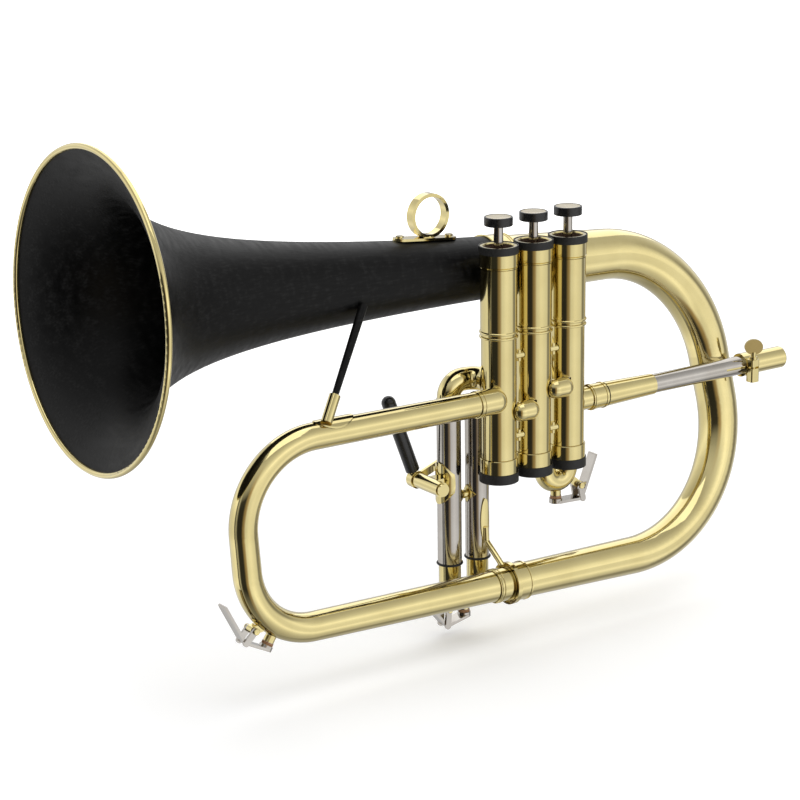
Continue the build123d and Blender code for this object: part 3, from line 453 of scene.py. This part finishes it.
def dress_nodes():
    """Every CAD node takes the material of its slot in the record."""
    for row in frame["record"]["subparts"]:
        mesh = frame["nodes"][row["node"]].data
        for index in range(max(1, len(mesh.materials))):
            if len(mesh.materials) <= index:
                mesh.materials.append(None)
            mesh.materials[index] = MATERIALS[row["material_slot"]]


# ---- Mesh helpers ----
def piece(name, verts, faces, material, body, smooth=35.0):
    """A mesh object that rides on a body."""
    mesh = bpy.data.meshes.new(name)
    mesh.from_pydata([tuple(v) for v in verts], [], faces)
    mesh.materials.append(MATERIALS[material])
    made = bmesh.new()
    made.from_mesh(mesh)
    bmesh.ops.recalc_face_normals(made, faces=made.faces)
    made.to_mesh(mesh)
    made.free()
    mesh.shade_smooth()
    mesh.set_sharp_from_angle(angle=math.radians(smooth))
    made_object = bpy.data.objects.new(name, mesh)
    bpy.context.scene.collection.objects.link(made_object)
    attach(made_object, body)
    return made_object


def turned(name, centre, axis, profile, material, body, steps=96):
    """A closed (radius, height) outline turned round an axis through centre."""
    axis = Vector(axis).normalized()
    side = axis.orthogonal().normalized()
    other = axis.cross(side)
    verts, faces = [], []
    count = len(profile)
    for step in range(steps):
        angle = 2 * math.pi * step / steps
        spoke = side * math.cos(angle) + other * math.sin(angle)
        verts += [Vector(centre) + axis * height + spoke * radius for radius, height in profile]
    for step in range(steps):
        here = step * count
        after = (step + 1) % steps * count
        for index in range(count):
            following = (index + 1) % count
            faces.append((here + index, here + following, after + following, after + index))
    return piece(name, verts, faces, material, body)


def round_corner(inner, outer, low, high, radius, steps=5):
    """Outline of a ring whose two outer corners are rounded."""
    points = [(inner, low)]
    for turn in range(steps + 1):
        angle = -math.pi / 2 + math.pi / 2 * turn / steps
        points.append((outer - radius + radius * math.cos(angle), low + radius + radius * math.sin(angle)))
    for turn in range(steps + 1):
        angle = math.pi / 2 * turn / steps
        points.append((outer - radius + radius * math.cos(angle), high - radius + radius * math.sin(angle)))
    return points + [(inner, high)]


def middle(node):
    """The middle of a node's box."""
    low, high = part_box(node)
    return (low + high) / 2


# ---- Finger buttons ----
BUTTON_ROUND = 0.4 * MM
BUTTON_HUB = 0.1 * MM
INLAY_INSET = 0.9 * MM
INLAY_GAP = 0.05 * MM
INLAY_HUB = 0.02 * MM
INLAY_RISE = 0.25 * MM
INLAY_EDGE = 0.15 * MM
INLAY_FOOT = 0.6 * MM
RECESS_DEPTH = 0.5 * MM
DOME_STEPS = 8


def add_buttons():
    """Black buttons with rounded edges and a slightly domed pale inlay."""
    for valve in VALVES:
        node = f"finger_button_{valve}"
        low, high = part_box(node)
        centre = middle(node)
        radius = (high.x - low.x) / 2
        base = (centre.x, centre.y, low.z)
        tall = high.z - low.z
        inlay = radius - INLAY_INSET
        outline = round_corner(BUTTON_HUB, radius, 0.0, tall, BUTTON_ROUND)[:-1]
        outline += [(inlay, tall), (inlay, tall - RECESS_DEPTH), (BUTTON_HUB, tall - RECESS_DEPTH)]
        rim = turned(f"button_{valve}", base, (0, 0, 1), outline,
                     "black_plastic", f"valve_{valve}")
        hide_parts(node)
        reach = inlay - INLAY_GAP
        dome = [(INLAY_HUB, tall - INLAY_FOOT), (reach, tall - INLAY_FOOT)]
        for turn in range(DOME_STEPS + 1):
            angle = turn / DOME_STEPS * math.pi / 2
            height = tall - INLAY_EDGE + INLAY_RISE * math.sin(angle)
            dome.append((reach * math.cos(angle) + INLAY_HUB, height))
        turned(f"button_inlay_{valve}", base, (0, 0, 1), dome, "pearl", f"valve_{valve}")


# ---- Valve block details ----
BEAD_ROUND = 0.45 * MM
BEAD_SINK = 0.2 * MM
BEAD_STRETCH = 1.4
BEAD_STEPS = 16
BEAD_HEIGHTS = (15.2 * MM, 17.8 * MM)
LINER_R = 7.97 * MM
LINER_THICK = 0.12 * MM
LINER_SINK = 0.1 * MM
LINER_LIP = 1.0 * MM


def add_casing_beads():
    """Rounded double beads where each casing changes size."""
    for valve in VALVES:
        low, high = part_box(f"valve_casing_{valve}")
        centre = middle(f"valve_casing_{valve}")
        radius = (high.x - low.x) / 2
        for place, height in zip(("low", "high"), BEAD_HEIGHTS):
            outline = []
            for step in range(BEAD_STEPS):
                angle = 2 * math.pi * step / BEAD_STEPS
                reach = radius - BEAD_SINK + BEAD_ROUND * math.cos(angle)
                outline.append((reach, BEAD_STRETCH * BEAD_ROUND * math.sin(angle)))
            turned(f"casing_{valve}_bead_{place}", (centre.x, centre.y, height), (0, 0, 1), outline,
                   "brass", "root")


def add_cap_liners():
    """Dark felt rings that line the cups of the top caps, below a thin brass lip."""
    for valve in VALVES:
        centre = middle(f"top_cap_{valve}")
        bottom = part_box("top_felts")[1].z - LINER_SINK
        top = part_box(f"top_cap_{valve}")[1].z - LINER_LIP
        inner = LINER_R - LINER_THICK
        outline = [(inner, bottom), (LINER_R, bottom), (LINER_R, top), (inner, top)]
        turned(f"cap_liner_{valve}", (centre.x, centre.y, 0), (0, 0, 1), outline, "felt", "root")


# ---- Drain keys: cork pads and screw heads ----
# The way each nipple points, the side its hinge is on, and how far off: across, and inward to the tube
KEYS = {
    "third_key": {"drain": -90.0, "side": -1.0, "pivot": (12.5, 2.8)},
    "first_key": {"drain": -90.0, "side": 1.0, "pivot": (14.8, 3.4)},
    "main_key": {"drain": -123.0, "side": -1.0, "pivot": (12.4, 2.2)},
}
CORK_R = 3.06 * MM
CORK_HUB = 0.1 * MM
CORK_START = 0.06 * MM
CORK_BEVEL = (0.2 * MM, 0.25 * MM)
CORK_SHOWN = 1.75 * MM
HEAD_R = 1.7 * MM
HEAD_TALL = 0.8 * MM
HEAD_HUB = 0.05 * MM
HEAD_ROUND = 0.35 * MM
PIN_HALF = 4.42 * MM


def key_hinge(key):
    """The hinge point of a key, from its joint in the frame."""
    for joint in frame["joints"]:
        if joint["child"] == key:
            return Vector(joint["pos_m"])


def key_direction(key, across, inward):
    """A step across a key, toward its hinge's side, and inward to the tube, as a vector."""
    angle = math.radians(KEYS[key]["drain"] + 90.0)
    cos_turn, sin_turn = math.cos(angle), math.sin(angle)
    run = KEYS[key]["side"] * across
    return Vector((run * cos_turn - inward * sin_turn, 0, run * sin_turn + inward * cos_turn))


def add_key_parts():
    """A cork pad on each key's nipple, and a screw head at each end of its hinge."""
    for key, row in KEYS.items():
        hinge = key_hinge(key)
        across, inward = row["pivot"]
        nipple = hinge - key_direction(key, across * MM, inward * MM)
        away = key_direction(key, 0, -1).normalized()
        bevel_across, bevel_up = CORK_BEVEL
        outline = [(CORK_HUB, CORK_START), (CORK_R - bevel_across, CORK_START), (CORK_R, bevel_up),
                   (CORK_R, CORK_SHOWN), (CORK_HUB, CORK_SHOWN)]
        turned(f"{key}_cork", nipple, away, outline, "cork", key, steps=40)
        for side, word in ((-1, "near"), (1, "far")):
            outline = round_corner(HEAD_HUB, HEAD_R, 0, HEAD_TALL, HEAD_ROUND)
            face = hinge + Vector((0, side * PIN_HALF, 0))
            turned(f"{key}_screw_{word}", face, (0, side, 0), outline, "brass", key, steps=36)


add_camera()
add_studio()
dress_nodes()
add_buttons()
add_casing_beads()
add_cap_liners()
add_key_parts()

bpy.context.view_layer.update()
